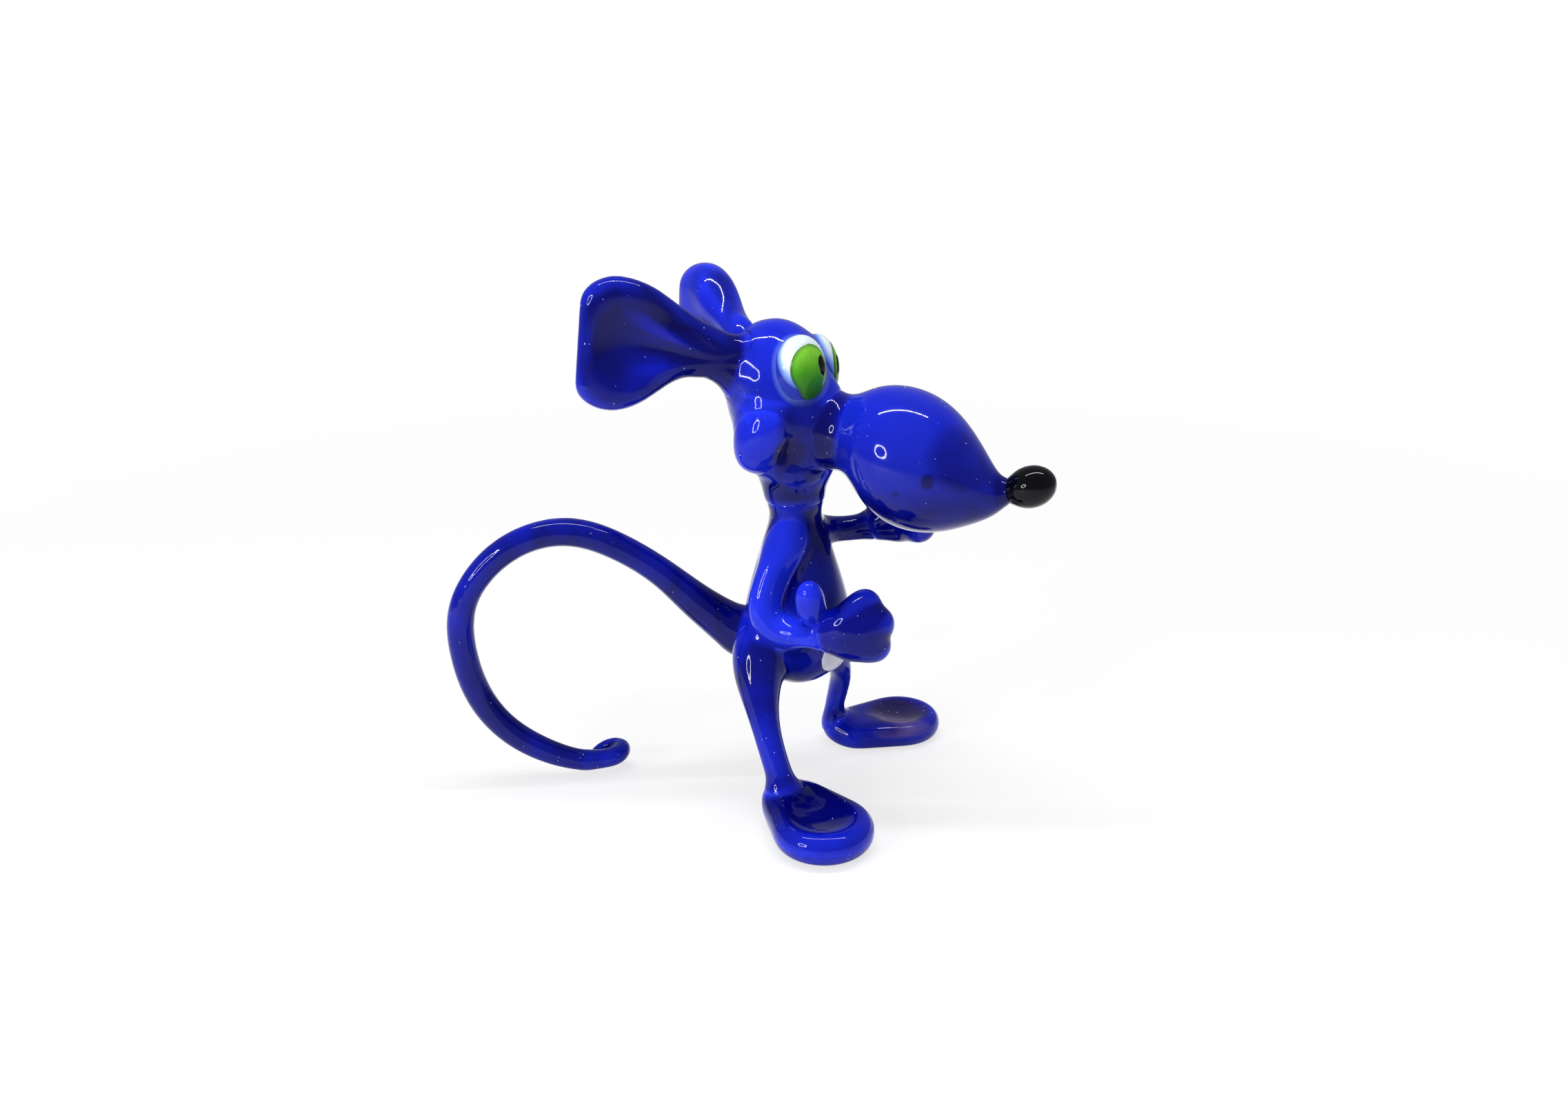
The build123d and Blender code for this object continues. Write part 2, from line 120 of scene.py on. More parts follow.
class Gather:
    """A CAD node as a search tree in millimetres."""

    def __init__(self, name):
        mesh = frame["nodes"][name].data
        spots = np.empty(3 * len(mesh.vertices))
        mesh.vertices.foreach_get("co", spots)
        self.spots = spots.reshape(-1, 3) * METRE
        self.low, self.high = self.spots.min(0), self.spots.max(0)
        faces = [tuple(face.vertices) for face in mesh.polygons]
        self.tree = BVHTree.FromPolygons(self.spots.tolist(), faces)

    def distance(self, spots):
        nearest = self.tree.find_nearest
        return np.array([nearest(spot)[3] for spot in spots.tolist()])

    def column_crossings(self, x, y):
        heights = []
        z = self.low[2] - 1.0
        while True:
            spot = self.tree.ray_cast((x, y, z), (0, 0, 1))[0]
            if spot is None:
                return heights
            heights.append(spot.z)
            z = spot.z + hair

    def inside(self, xs, ys, zs):
        """True at grid points within the glass, found column by column."""
        mask = np.zeros((len(xs), len(ys), len(zs)), bool)
        for i in np.flatnonzero((xs > self.low[0]) & (xs < self.high[0])):
            for j in np.flatnonzero((ys > self.low[1]) & (ys < self.high[1])):
                heights = self.column_crossings(xs[i], ys[j])
                if len(heights) % 2:
                    mask[i, j] = mask[i, j - 1]
                    continue
                for height in heights:
                    mask[i, j] ^= zs > height
        return mask


gathers = {name: Gather(name) for name in frame["nodes"]}


def touching(one, other):
    if np.any(one.low - touch_gap > other.high) or np.any(other.low - touch_gap > one.high):
        return False
    near = np.all((one.spots > other.low - touch_gap) & (one.spots < other.high + touch_gap), axis=1)
    spots = one.spots[near]
    return len(spots) > 0 and other.distance(spots).min() < touch_gap


neighbours = {name: [] for name in gathers}
names = sorted(gathers)
for i, one in enumerate(names):
    for other in names[i + 1:]:
        if touching(gathers[one], gathers[other]) or touching(gathers[other], gathers[one]):
            neighbours[one].append(other)
            neighbours[other].append(one)


def melted(a, b, reach):
    """Smooth union of two distance fields."""
    near = np.maximum(reach - np.abs(a - b), 0) / reach
    return np.minimum(a, b) - near * near * reach / 4


def blurred(field):
    for axis in range(3):
        before, after = np.roll(field, 1, axis), np.roll(field, -1, axis)
        field = (before + 2 * field + after) / 4
    return field


def melted_field(name, step):
    """Distance field of one piece melted into its neighbours, and its grid."""
    own = gathers[name]
    melts = [melt_of.get(frozenset((name, other)), melt_default) for other in neighbours[name]]
    band = max(band_steps * step, band_least, max(melts) / 4 + 2 * softening)
    far = max(2 * band, max(melts))
    pad = band + step * search_stride
    axes = [np.arange(own.low[i] - pad, own.high[i] + pad, step) for i in range(3)]
    shape = tuple(len(axis) for axis in axes)
    coarse = [axis[search_stride // 2::search_stride] for axis in axes]
    spots = np.stack(np.meshgrid(*coarse, indexing="ij"), -1).reshape(-1, 3)
    rough = own.distance(spots).reshape([len(axis) for axis in coarse])
    for i in range(3):
        rough = np.repeat(rough, search_stride, axis=i)
    rough = np.pad(rough, [(0, max(0, shape[i] - rough.shape[i])) for i in range(3)], mode="edge")
    rough = rough[:shape[0], :shape[1], :shape[2]]
    near = rough < band + search_stride * step
    within = own.inside(*axes)
    field = np.where(within, -band, band)
    grid = np.stack(np.meshgrid(*axes, indexing="ij"), -1)
    spots = grid[near]
    reach = own.distance(spots)
    field[near] = np.where(within[near], -reach, reach)
    rim = np.abs(field) < band
    spots = grid[rim]
    union = field.copy()
    rival = np.full(shape, far)
    nearby = set(neighbours[name]).union(*(neighbours[other] for other in neighbours[name])) - {name}
    for other in sorted(nearby):
        neighbour = gathers[other]
        close = np.all((spots > neighbour.low - far) & (spots < neighbour.high + far), axis=1)
        if not close.any():
            continue
        away = np.full(len(spots), far)
        away[close] = neighbour.distance(spots[close])
        away = np.where(neighbour.inside(*axes)[rim], -away, away)
        melt = melt_of.get(frozenset((name, other)), melt_default)
        if other in neighbours[name]:
            rival[rim] = np.minimum(rival[rim], away)
        else:
            melt = melt_far
        union[rim] = melted(union[rim], away, melt)
    soft = eye_softening if name in eye_parts else softening
    for turn in range(round(2 * (soft / step) ** 2)):
        union = blurred(union)
    union -= proud_of.get(name, 0)
    border = np.where(rim, (field - rival) / 2, -band)
    dipped = union + np.clip(border, 0, lap) * lap_slope
    return np.maximum(dipped, border - lap), union, axes


def sampled(field, axes, corners):
    """Value of a field at each corner, from the eight grid points round it."""
    step = axes[0][1] - axes[0][0]
    place = np.stack([(corners[:, i] - axes[i][0]) / step for i in range(3)], 1)
    place = np.clip(place, 0, np.array(field.shape) - 1.001)
    cell = place.astype(int)
    part = place - cell
    total = np.zeros(len(corners))
    for i in (0, 1):
        for j in (0, 1):
            for k in (0, 1):
                weight = np.where(i, part[:, 0], 1 - part[:, 0]) * np.where(j, part[:, 1], 1 - part[:, 1])
                weight = weight * np.where(k, part[:, 2], 1 - part[:, 2])
                total += weight * field[cell[:, 0] + i, cell[:, 1] + j, cell[:, 2] + k]
    return total


def bend_of(union, step):
    """Mean bend of the melted glass, one over the radius in millimetres, from its field."""
    smooth = union
    for turn in range(round(2 * (bend_softening / step) ** 2)):
        smooth = blurred(smooth)
    around = -6 * smooth
    for axis in range(3):
        around = around + np.roll(smooth, 1, axis) + np.roll(smooth, -1, axis)
    return around / step ** 2 / 2


def net_of(field, axes, step):
    """Closed quad mesh through the zero level of a field: (corners, faces)."""
    cells = np.array(field.shape) - 1
    total = np.zeros((int(np.prod(cells)), 3))
    count = np.zeros(int(np.prod(cells)))
    quads = []
    for axis in range(3):
        low = [slice(None)] * 3
        high = [slice(None)] * 3
        low[axis], high[axis] = slice(None, -1), slice(1, None)
        a, b = field[tuple(low)], field[tuple(high)]
        edge = np.argwhere((a < 0) != (b < 0))
        at = tuple(edge.T)
        spot = edge.astype(float)
        spot[:, axis] += a[at] / (a[at] - b[at])
        one, two = (axis + 1) % 3, (axis + 2) % 3
        corners = []
        for back_one, back_two in ((1, 1), (0, 1), (0, 0), (1, 0)):
            cell = edge.copy()
            cell[:, one] -= back_one
            cell[:, two] -= back_two
            index = np.ravel_multi_index(tuple(cell.T), tuple(cells))
            corners.append(index)
            np.add.at(total, index, spot)
            np.add.at(count, index, 1)
        quad = np.stack(corners, 1)
        outward = a[at] < 0
        quads.append(np.where(outward[:, None], quad, quad[:, ::-1]))
    used = np.flatnonzero(count)
    number = np.full(len(count), -1)
    number[used] = np.arange(len(used))
    start = np.array([axis[0] for axis in axes])
    corners = start + total[used] / count[used, None] * step
    return corners, number[np.concatenate(quads)]


def joined(faces):
    return np.concatenate([faces[:, [i, (i + 1) % 4]] for i in range(4)])


def evened(values, joins, turns):
    """Values moved part way, turn by turn, to the mean of those they join."""
    share = np.bincount(joins[:, 0], minlength=len(values)).astype(float)
    share = share.reshape([-1] + [1] * (values.ndim - 1))
    for turn in range(turns):
        pull = np.zeros_like(values)
        np.add.at(pull, joins[:, 0], values[joins[:, 1]])
        values = (values + pull / share) / 2
    return values


def store(mesh, name, values):
    mesh.attributes.new(name, "FLOAT", "POINT").data.foreach_set("value", values)


every_spot = []
every_face = []
for name in names:
    first = len(every_spot)
    every_spot += gathers[name].spots.tolist()
    mesh = frame["nodes"][name].data
    every_face += [tuple(corner + first for corner in face.vertices) for face in mesh.polygons]
whole = BVHTree.FromPolygons(every_spot, every_face)


def glass_depth(corners, normals):
    """Straight way through all the glass behind each corner, nought to one."""
    depth = np.empty(len(corners))
    for i, (corner, normal) in enumerate(zip(corners, normals)):
        heading = Vector(-normal)
        spot = Vector(corner) - heading * lap
        gone = 0.0
        way = 0.0
        layers = 0
        while gone < thickest:
            hit, face, index, length = whole.ray_cast(spot, heading, thickest)
            if hit is None or (layers <= 0 and way > 0 and gone + length - way > glass_gap):
                break
            gone += length + hair
            if face.dot(heading) > 0:
                layers -= 1
                way = gone
            else:
                layers += 1
            spot = hit + heading * hair
        depth[i] = thickest if gone >= thickest else way
    return np.clip(depth / thickest, 0, 1)


def eased(name, corners, value_of, default):
    """Value of a piece, eased to the mean of both at each seam."""
    own = value_of.get(name, default)
    value = np.full(len(corners), own)
    for other in neighbours[name]:
        if other in eye_parts or other == "nose":
            continue
        near = np.clip(1 - gathers[other].distance(corners) / tone_reach, 0, 1)
        value += (value_of.get(other, default) - own) / 2 * near * near
    return value


# Folds in the funnels of the ears, in millimetres
ear_root = (5.0, 2.5, 53.6)
fold_middle = 6.5
fold_reach = 5.5
fold_count = 11.0
fold_depth = 0.16
fold_gain = 1.3             # over one, so that the folds are full over part of their reach
fold_turn = 0.6             # turns the whole fan of folds, in radians

# Marks painted on the glass: middle and reach, in millimetres, of each. The shade marks are painted shade;
# the gloom marks paint deep shade in the mouth hollows and also darken the near foot's dish and two small
# spots on the muzzle. A mark is full out to its reach and gone at one and a half times that
marks = {
    "gloom": [((-4.6, -5.4, 43.6), (1.5, 1.6, 1.3)), ((4.6, -5.4, 43.6), (1.5, 1.6, 1.3)),
              ((-12.9, -10.9, 3.0), (4.9, 4.6, 1.7)),
              ((-8.3, -22.1, 42.2), (0.5, 0.6, 0.7)), ((-8.9, -18.6, 40.6), (0.4, 0.5, 0.4))],
    "shade": [((-4.4, -7.4, 46.6), (2.4, 2.4, 2.6)), ((4.4, -7.4, 46.6), (2.4, 2.4, 2.6)),
              ((-3.8, -6.4, 42.2), (2.6, 2.8, 2.4)), ((3.8, -6.4, 42.2), (2.6, 2.8, 2.4)),
              ((-6.8, 4.4, 52.0), (3.4, 3.0, 2.2)), ((0, -22, 34.5), (12, 12, 5.5)),
              ((-6.2, -26.5, 44.5), (3.6, 3.6, 3.2)), ((-3.0, -31.0, 42.0), (2.5, 3.0, 2.5))],
    "rust": [((14.3, -14.2, 2.6), (4.2, 4.0, 0.9))],
    "ripple": [((-6.0, -3.0, 48.8), (2.4, 2.6, 1.5)), ((6.0, -3.0, 48.8), (2.4, 2.6, 1.5))],
}


def ear_folds(name, corners):
    """Folds from the root of an ear over its funnel: minus one in a groove, one on a ridge."""
    side = -1 if name.startswith("right") else 1
    root = np.array((side * ear_root[0], ear_root[1], ear_root[2]))
    out = np.hypot(corners[:, 0] - root[0], corners[:, 1] - root[1])
    angle = np.arctan2(corners[:, 2] - root[2], out)
    strength = np.clip(fold_gain * (1 - np.abs(out - fold_middle) / fold_reach), 0, 1)
    return strength * np.cos(angle * fold_count + fold_turn)


def skinned(name):
    """New piece for a node: its glass melted into what it touches."""
    step = eye_step if name in eye_parts else skin_step
    field, union, axes = melted_field(name, step)
    corners, faces = net_of(field, axes, step)
    joins = joined(faces)
    corners = evened(corners, joins, skin_smooths)
    mesh = bpy.data.meshes.new(name + "_glass")
    mesh.from_pydata((corners / METRE).tolist(), [], faces.tolist())
    mesh.update()
    mesh.shade_smooth()
    slope = np.stack([sampled(part, axes, corners) for part in np.gradient(union)], 1)
    normals = slope / np.maximum(np.linalg.norm(slope, axis=1), 1e-6)[:, None]
    fold = ear_folds(name, corners) if name.endswith("_ear") else np.zeros(len(corners))
    corners = corners + normals * (fold * fold_depth)[:, None]
    mesh.vertices.foreach_set("co", (corners / METRE).ravel())
    mesh.update()
    store(mesh, "fold", 0.5 + fold / 2)
    store(mesh, "depth", evened(glass_depth(corners, normals), joins, attribute_smooths))
    bend = sampled(bend_of(union, step), axes, corners)
    store(mesh, "bend", np.clip(0.5 + bend / bend_limit / 2, 0, 1))
    store(mesh, "sky", 0.5 + normals[:, 2] / 2)
    for mark, places in marks.items():
        inked = np.zeros(len(corners))
        for middle, reach in places:
            away = np.linalg.norm((corners - middle) / reach, axis=1)
            inked = np.maximum(inked, np.clip(1.5 - away, 0, 0.5) * 2)
        store(mesh, mark, inked)
    store(mesh, "tone", eased(name, corners, tone_and_shade_of, tone_and_shade_default))
    store(mesh, "murk", eased(name, corners, murk_of, murk_default))
    seam = np.full(len(corners), seam_reach)
    rim = np.full(len(corners), seam_reach)
    for other in neighbours[name]:
        away = gathers[other].distance(corners)
        seam = np.minimum(seam, away)
        if not other.endswith(("_iris", "_pupil")):
            rim = np.minimum(rim, away)
    store(mesh, "seam", seam / seam_reach)
    store(mesh, "rim", rim / seam_reach)
    if name in eye_parts:
        own = gathers[name]
        store(mesh, "along_z", (corners[:, 2] - own.low[2]) / (own.high[2] - own.low[2]))
    glow = np.full(len(corners), glow_reach)
    if name in ("head", "muzzle"):
        for eye in ("right_eye_white", "left_eye_white"):
            glow = np.minimum(glow, gathers[eye].distance(corners))
    store(mesh, "glow", 1 - glow / glow_reach)
    piece = bpy.data.objects.new(name + "_glass", mesh)
    bpy.context.scene.collection.objects.link(piece)
    return piece


# Materials

def new_material(name, roughness):
    material = bpy.data.materials.new(name)
    material.use_nodes = True
    shader = material.node_tree.nodes["Principled BSDF"]
    shader.inputs["Roughness"].default_value = roughness
    shader.inputs["IOR"].default_value = 1.5
    shader.inputs["Specular IOR Level"].default_value = 0.03
    shader.inputs["Coat Weight"].default_value = 1.0
    shader.inputs["Coat Roughness"].default_value = 0.025
    shader.inputs["Coat IOR"].default_value = 1.28
    return material, material.node_tree, shader


def noise(tree, scale, detail=2.0, stretch=(1, 1, 1), swirl=0.0):
    where = tree.nodes.new("ShaderNodeTexCoord")
    mapping = tree.nodes.new("ShaderNodeMapping")
    mapping.inputs["Scale"].default_value = stretch
    texture = tree.nodes.new("ShaderNodeTexNoise")
    texture.inputs["Scale"].default_value = scale
    texture.inputs["Detail"].default_value = detail
    texture.inputs["Distortion"].default_value = swirl
    tree.links.new(where.outputs["Object"], mapping.inputs["Vector"])
    tree.links.new(mapping.outputs["Vector"], texture.inputs["Vector"])
    return texture.outputs["Fac"]


def ramp(tree, factor, stops):
    """Colours along a factor, as (place, colour) stops."""
    node = tree.nodes.new("ShaderNodeValToRGB")
    elements = node.color_ramp.elements
    for place, color in stops[2:]:
        elements.new(place)
    for element, (place, color) in zip(elements, sorted(stops, key=lambda stop: stop[0])):
        element.position = place
        element.color = (*color, 1)
    tree.links.new(factor, node.inputs["Fac"])
    return node.outputs["Color"]


def mixed(tree, factor, one, other, blend="MIX"):
    node = tree.nodes.new("ShaderNodeMix")
    node.data_type = "RGBA"
    node.blend_type = blend
    inputs = node.inputs
    for socket, value in ((inputs["Factor"], factor), (inputs["A"], one), (inputs["B"], other)):
        if isinstance(value, bpy.types.NodeSocket):
            tree.links.new(value, socket)
        elif isinstance(value, tuple):
            socket.default_value = (*value, 1)
        else:
            socket.default_value = value
    return node.outputs["Result"]


def sum_of(tree, one, other, operation="ADD"):
    node = tree.nodes.new("ShaderNodeMath")
    node.operation = operation
    node.use_clamp = operation != "ADD"
    for socket, value in zip(node.inputs, (one, other)):
        if isinstance(value, bpy.types.NodeSocket):
            tree.links.new(value, socket)
        else:
            socket.default_value = value
    return node.outputs["Value"]


def attribute(tree, name):
    node = tree.nodes.new("ShaderNodeAttribute")
    node.attribute_name = name
    return node.outputs["Fac"]


def bumped(tree, shader, height, distance):
    bump = tree.nodes.new("ShaderNodeBump")
    bump.inputs["Strength"].default_value = 0.4
    bump.inputs["Distance"].default_value = distance
    tree.links.new(height, bump.inputs["Height"])
    tree.links.new(bump.outputs["Normal"], shader.inputs["Normal"])
    tree.links.new(bump.outputs["Normal"], shader.inputs["Coat Normal"])


night_blue = (0.0005, 0.0005, 0.07)
deep_blue = (0.0005, 0.0006, 0.10)
cobalt_blue = (0.001, 0.003, 0.25)
bright_blue = (0.003, 0.011, 0.56)
rim_blue = (0.014, 0.035, 0.85)
milk_blue = (0.25, 0.42, 0.98)
speck_white = (0.35, 0.45, 1.0)


def cobalt(name):
    """Dense blue glass: dark in the mass, paler at thin edges; painted shade in hollows, on undersides and
    at seams, painted light on convex rims and upper sides.
    """
    material, tree, shader = new_material(name, 0.12)
    body = ramp(tree, attribute(tree, "depth"),
                [(0.04, rim_blue), (1.0, deep_blue), (0.16, bright_blue), (0.5, cobalt_blue)])
    # Per-piece tone, partly painted light and shade: darker pieces go towards deep blue, paler ones towards
    # rim blue.
    body = mixed(tree, sum_of(tree, attribute(tree, "tone"), 0.9, "MULTIPLY"), body, deep_blue)
    body = mixed(tree, sum_of(tree, attribute(tree, "tone"), -1.0, "MULTIPLY"), body, rim_blue)
    cloud = noise(tree, 75, 4.0, (1, 1, 0.5), 1.6)
    body = mixed(tree, ramp(tree, cloud, [(0.42, (0, 0, 0)), (0.68, (0.6, 0.6, 0.6))]), body, bright_blue)
    murk = noise(tree, 48, 3.0, (1, 0.6, 1), 2.2)
    murk = mixed(tree, 1.0, ramp(tree, murk, [(0.46, (0, 0, 0)), (0.68, (0.9, 0.9, 0.9))]),
                 attribute(tree, "murk"), "MULTIPLY")
    body = mixed(tree, murk, body, night_blue)
    # Painted light and shade: skin facing up is painted lighter, skin facing down darker.
    sky = ramp(tree, attribute(tree, "sky"),
               [(0.0, (0.42, 0.42, 0.42)), (1.0, (1, 1, 1)), (0.6, (0.8, 0.8, 0.8))])
    body = mixed(tree, 1.0, body, sky, "MULTIPLY")
    # Painted light on sharply curved convex rims, weaker on darker pieces.
    rim = ramp(tree, attribute(tree, "bend"), [(0.74, (0, 0, 0)), (1.0, (0.7, 0.7, 0.7))])
    dense = sum_of(tree, attribute(tree, "tone"), 0.6, "MULTIPLY")
    rim = mixed(tree, 1.0, rim, sum_of(tree, 1.0, dense, "SUBTRACT"), "MULTIPLY")
    body = mixed(tree, rim, body, rim_blue)
    # Painted shade in hollows: concave glass is painted darker.
    painted_hollow_shade = ramp(tree, attribute(tree, "bend"), [(0.0, (0.6, 0.6, 0.6)), (0.36, (0, 0, 0))])
    body = mixed(tree, painted_hollow_shade, body, night_blue)
    # Painted shade in the grooves of the ear folds and painted light on their ridges.
    groove = ramp(tree, attribute(tree, "fold"), [(0.0, (0.8, 0.8, 0.8)), (0.4, (0, 0, 0))])
    body = mixed(tree, groove, body, night_blue)
    ridge = ramp(tree, attribute(tree, "fold"), [(0.65, (0, 0, 0)), (1.0, (0.5, 0.5, 0.5))])
    body = mixed(tree, ridge, body, bright_blue)
    # Painted shade in the creases where two pieces meet: darker close to a neighbour.
    seam = ramp(tree, attribute(tree, "seam"), [(0.0, (0.5, 0.5, 0.55)), (0.1, (1, 1, 1))])
    body = mixed(tree, 1.0, body, seam, "MULTIPLY")
    glow = ramp(tree, attribute(tree, "glow"), [(0.7, (0, 0, 0)), (0.98, (0.3, 0.3, 0.3))])
    body = mixed(tree, glow, body, milk_blue)
    ring = tree.nodes.new("ShaderNodeTexWave")
    ring.wave_type = "RINGS"
    ring.rings_direction = "SPHERICAL"
    ring.inputs["Scale"].default_value = 330
    ring.inputs["Distortion"].default_value = 1.0
    where = tree.nodes.new("ShaderNodeTexCoord")
    shift = tree.nodes.new("ShaderNodeMapping")
    shift.inputs["Location"].default_value = (0, 0.002, -0.0445)
    tree.links.new(where.outputs["Object"], shift.inputs["Vector"])
    tree.links.new(shift.outputs["Vector"], ring.inputs["Vector"])
    line = ramp(tree, ring.outputs["Fac"], [(0.6, (0, 0, 0)), (1.0, (0.55, 0.55, 0.55))])
    line = mixed(tree, 1.0, line, attribute(tree, "ripple"), "MULTIPLY")
    body = mixed(tree, line, body, rim_blue)
    veil = ramp(tree, noise(tree, 110, 3.0, (1, 1, 1), 1.5),
                [(0.3, (0.35, 0.35, 0.35)), (0.6, (0.85, 0.85, 0.85))])
    shade = mixed(tree, 1.0, attribute(tree, "shade"), veil, "MULTIPLY")
    body = mixed(tree, shade, body, deep_blue)
    # Painted deep shade in the mouth hollows; the same marks darken the near foot's dish and two small spots
    # on the muzzle.
    gloom = sum_of(tree, attribute(tree, "gloom"), 0.85, "MULTIPLY")
    body = mixed(tree, gloom, body, night_blue)
    streak = noise(tree, 260, 4.0, (1, 0.12, 1), 0.4)
    grain = ramp(tree, streak,
                 [(0.4, (0.012, 0.006, 0.05)), (0.62, (0.16, 0.11, 0.24)), (0.5, (0.03, 0.016, 0.10))])
    body = mixed(tree, sum_of(tree, attribute(tree, "rust"), 0.9, "MULTIPLY"), body, grain)
    seeds = tree.nodes.new("ShaderNodeTexVoronoi")
    seeds.inputs["Scale"].default_value = 800
    where = tree.nodes.new("ShaderNodeTexCoord")
    tree.links.new(where.outputs["Object"], seeds.inputs["Vector"])
    speck = ramp(tree, seeds.outputs["Distance"], [(0.03, (0.8, 0.8, 0.8)), (0.06, (0, 0, 0))])
    some = ramp(tree, noise(tree, 150, 2.0), [(0.5, (0, 0, 0)), (0.6, (1, 1, 1))])
    speck = mixed(tree, 1.0, speck, some, "MULTIPLY")
    body = mixed(tree, speck, body, speck_white)
    tree.links.new(body, shader.inputs["Base Color"])
    bumped(tree, shader, noise(tree, 120, 1.0), 0.00008)
    return material


def plain_glass(name, stops, scale):
    material, tree, shader = new_material(name, 0.1)
    body = ramp(tree, noise(tree, scale), stops)
    tree.links.new(body, shader.inputs["Base Color"])
    bumped(tree, shader, noise(tree, 200, 1.0), 0.0001)
    return material


def white_of_eye(name):
    """Milky white that turns blue where the glass round it runs over the edge."""
    material, tree, shader = new_material(name, 0.12)
    milk = ramp(tree, noise(tree, 260), [(0.3, (0.72, 0.80, 0.86)), (0.6, (0.88, 0.93, 0.94))])
    low = ramp(tree, attribute(tree, "along_z"), [(0.0, (0.22, 0.22, 0.22)), (0.75, (0, 0, 0))])
    inward = sum_of(tree, attribute(tree, "rim"), low, "SUBTRACT")
    tint = ramp(tree, inward, [(0.02, (0.012, 0.03, 0.42)), (0.24, (0.9, 0.96, 0.97)), (0.12, milk_blue)])
    body = mixed(tree, 1.0, milk, tint, "MULTIPLY")
    tree.links.new(body, shader.inputs["Base Color"])
    bumped(tree, shader, noise(tree, 200, 1.0), 0.0001)
    return material


def green_of_eye(name):
    """Green that goes from yellowish above to dark below, with a thin dark border."""
    material, tree, shader = new_material(name, 0.12)
    fall = ramp(tree, attribute(tree, "along_z"),
                [(0.05, (0.018, 0.14, 0.008)), (0.95, (0.30, 0.80, 0.06)), (0.5, (0.07, 0.40, 0.012))])
    streak = ramp(tree, noise(tree, 420, 3.0, (1, 1, 0.3)), [(0.4, (0.75, 0.75, 0.75)), (0.7, (1, 1, 1))])
    body = mixed(tree, 1.0, fall, streak, "MULTIPLY")
    edge = ramp(tree, attribute(tree, "rim"), [(0.0, (0.8, 0.8, 0.8)), (0.12, (0, 0, 0))])
    body = mixed(tree, edge, body, (0.004, 0.05, 0.02))
    tree.links.new(body, shader.inputs["Base Color"])
    bumped(tree, shader, noise(tree, 200, 1.0), 0.0001)
    return material


cobalt_glass = cobalt("cobalt_glass")
nose_glass = plain_glass("nose_glass", [(0.3, (0.0003, 0.0003, 0.0005)), (0.7, (0.002, 0.002, 0.006))], 300)
white_glass = white_of_eye("white_glass")
green_glass = green_of_eye("green_glass")
black_glass = plain_glass("black_glass", [(0.3, (0.004, 0.0015, 0.0025)), (0.7, (0.008, 0.003, 0.005))], 300)
patch_glass = plain_glass("patch_glass", [(0.3, (0.45, 0.46, 0.56)), (0.7, (0.78, 0.78, 0.86))], 240)
material_of = {"cobalt_glass": cobalt_glass, "nose_glass": nose_glass, "white_glass": white_glass,
               "green_glass": green_glass, "black_glass": black_glass}

slot_of = {part["node"]: part["material_slot"] for part in frame["record"]["subparts"]}
skins = {}
for name in sorted(gathers):
    piece = skinned(name)
    skins[name] = piece
    piece.data.materials.append(patch_glass if name == "belly_patch" else material_of[slot_of[name]])
    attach(piece, "root")
    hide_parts(name)

# Seeds: tiny bubbles that the flame left in the skin of the glass
seeded = ("head", "muzzle", "right_ear", "left_ear", "torso", "tail", "right_leg", "left_leg", "right_foot",
          "left_foot", "right_hand", "left_hand", "right_arm", "right_cheek", "left_cheek")
seed_radius = 0.00007
seed_density = 55000.0      # to the square metre
seed_spread = (0.35, 1.0)   # least and greatest share of the radius
seed_sky_least = 0.3        # none where the skin faces less sky: nought straight down, one straight up


def seed_tree(glass):
    """Node tree that strews bubbles over all of a mesh but its undersides."""
    tree = bpy.data.node_groups.new("seeds", "GeometryNodeTree")
    face = tree.interface
    face.new_socket("Geometry", in_out="INPUT", socket_type="NodeSocketGeometry")
    radius = face.new_socket("Radius", in_out="INPUT", socket_type="NodeSocketFloat")
    density = face.new_socket("Density", in_out="INPUT", socket_type="NodeSocketFloat")
    face.new_socket("Geometry", in_out="OUTPUT", socket_type="NodeSocketGeometry")
    start = tree.nodes.new("NodeGroupInput")
    end = tree.nodes.new("NodeGroupOutput")
    sky = tree.nodes.new("GeometryNodeInputNamedAttribute")
    sky.data_type = "FLOAT"
    sky.inputs["Name"].default_value = "sky"
    upper = tree.nodes.new("FunctionNodeCompare")
    upper.data_type = "FLOAT"
    upper.operation = "GREATER_THAN"
    upper.inputs["B"].default_value = seed_sky_least
    strewn = tree.nodes.new("GeometryNodeDistributePointsOnFaces")
    strewn.inputs["Seed"].default_value = 7
    ball = tree.nodes.new("GeometryNodeMeshIcoSphere")
    ball.inputs["Subdivisions"].default_value = 2
    spread = tree.nodes.new("FunctionNodeRandomValue")
    spread.data_type = "FLOAT"
    spread.inputs[2].default_value, spread.inputs[3].default_value = seed_spread
    spread.inputs["Seed"].default_value = 3
    placed = tree.nodes.new("GeometryNodeInstanceOnPoints")
    real = tree.nodes.new("GeometryNodeRealizeInstances")
    coat = tree.nodes.new("GeometryNodeSetMaterial")
    coat.inputs["Material"].default_value = glass
    join = tree.links.new
    join(start.outputs["Geometry"], strewn.inputs["Mesh"])
    join(start.outputs["Density"], strewn.inputs["Density"])
    join(start.outputs["Radius"], ball.inputs["Radius"])
    join(sky.outputs["Attribute"], upper.inputs["A"])
    join(upper.outputs["Result"], strewn.inputs["Selection"])
    join(strewn.outputs["Points"], placed.inputs["Points"])
    join(ball.outputs["Mesh"], placed.inputs["Instance"])
    join(spread.outputs[1], placed.inputs["Scale"])
    join(placed.outputs["Instances"], real.inputs["Geometry"])
    join(real.outputs["Geometry"], coat.inputs["Geometry"])
    join(coat.outputs["Geometry"], end.inputs["Geometry"])
    return tree, radius.identifier, density.identifier


